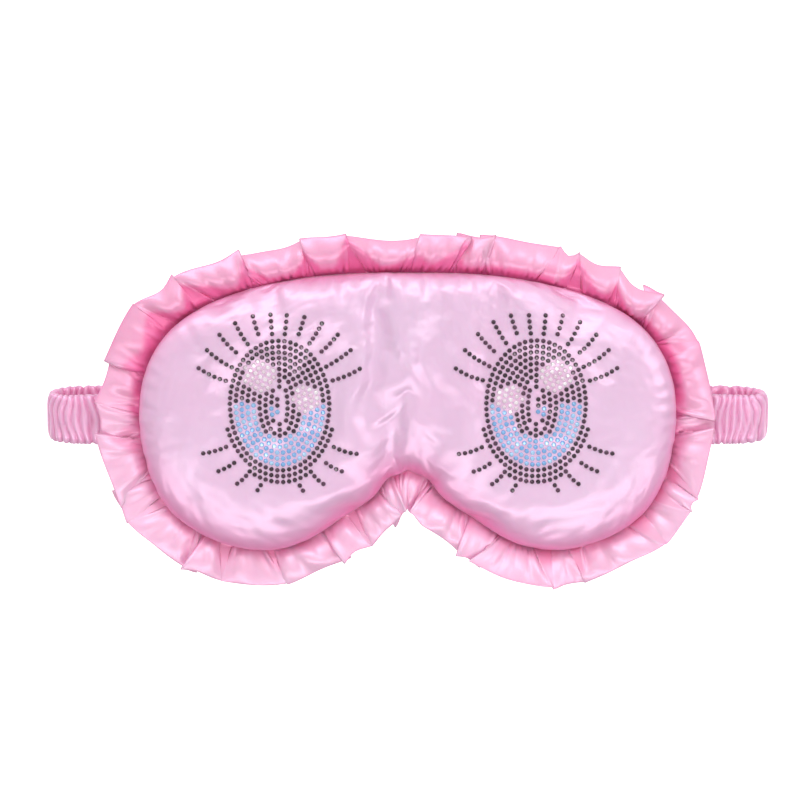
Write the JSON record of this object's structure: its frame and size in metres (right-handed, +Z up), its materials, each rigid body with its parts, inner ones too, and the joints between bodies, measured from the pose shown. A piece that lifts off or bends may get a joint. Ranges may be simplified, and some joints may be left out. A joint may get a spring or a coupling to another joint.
{
  "type": "sleep eye mask",
  "caption": "Padded satin sleep mask with a nose notch, a gathered ruffle, eyes in faceted stones and a ruched elastic strap.",
  "frame": {"origin": "on the flat middle of the lining, where the mask rests on the face, at half the padded body's height", "axes": "+X to the wearer's left, +Y back through the wearer's head, +Z up; the stones face -Y"},
  "size_m": [0.274, 0.0318, 0.1397],
  "materials": {
    "satin_front": "padded polyester satin, lilac pink",
    "satin_lining": "polyester satin, pink",
    "satin_ruffle": "gathered polyester satin, pink",
    "satin_strap": "ruched polyester satin, pink",
    "wadding": "polyester wadding",
    "interlining": "black non-woven",
    "elastic": "woven elastic",
    "thread": "polyester thread",
    "stone_black": "foil-backed faceted stone",
    "stone_blue": "foil-backed faceted stone",
    "stone_clear": "foil-backed faceted stone"
  },
  "bodies": {
    "mask": {"front_panel": "satin_front", "back_panel": "satin_lining", "padding": "wadding", "blackout_liner": "interlining", "ruffle": "satin_ruffle", "seam_thread": "thread", "gathering_thread": "thread", "strap_tab_left": "elastic", "strap_tack_left": "thread", "black_stones_left": "stone_black", "blue_stones_left": "stone_blue", "clear_stones_left": "stone_clear", "strap_tab_right": "elastic", "strap_tack_right": "thread", "black_stones_right": "stone_black", "blue_stones_right": "stone_blue", "clear_stones_right": "stone_clear"},
    "strap_loop": {"strap_cover_front_left": "satin_strap", "strap_cover_front_right": "satin_strap", "strap_cover_turn_left": "satin_strap", "strap_cover_turn_right": "satin_strap", "strap_cover_side_left": "satin_strap", "strap_cover_side_right": "satin_strap", "strap_elastic_front_left": "elastic", "strap_elastic_front_right": "elastic", "strap_elastic_turn_left": "elastic", "strap_elastic_turn_right": "elastic", "strap_elastic_side_left": "elastic", "strap_elastic_side_right": "elastic"},
    "strap_back": {"strap_cover_back": "satin_strap", "strap_elastic_back": "elastic"}
  },
  "joints": [
    {"name": "strap_swing", "type": "hinge", "parent": "mask", "child": "strap_loop", "pos_m": [0, -0.0021, -0.0035], "axis": [1, 0, 0], "range_deg": [-30, 30], "stiffness_Nm_per_rad": 0.02, "deforming": ["strap_cover_front_left", "strap_cover_front_right", "strap_elastic_front_left", "strap_elastic_front_right"]},
    {"name": "strap_stretch", "type": "slide", "parent": "strap_loop", "child": "strap_back", "axis": [0, 1, 0], "range_m": [0, 0.12], "stiffness_N_per_m": 25, "deforming": ["strap_cover_side_left", "strap_cover_side_right", "strap_elastic_side_left", "strap_elastic_side_right"]}
  ]
}
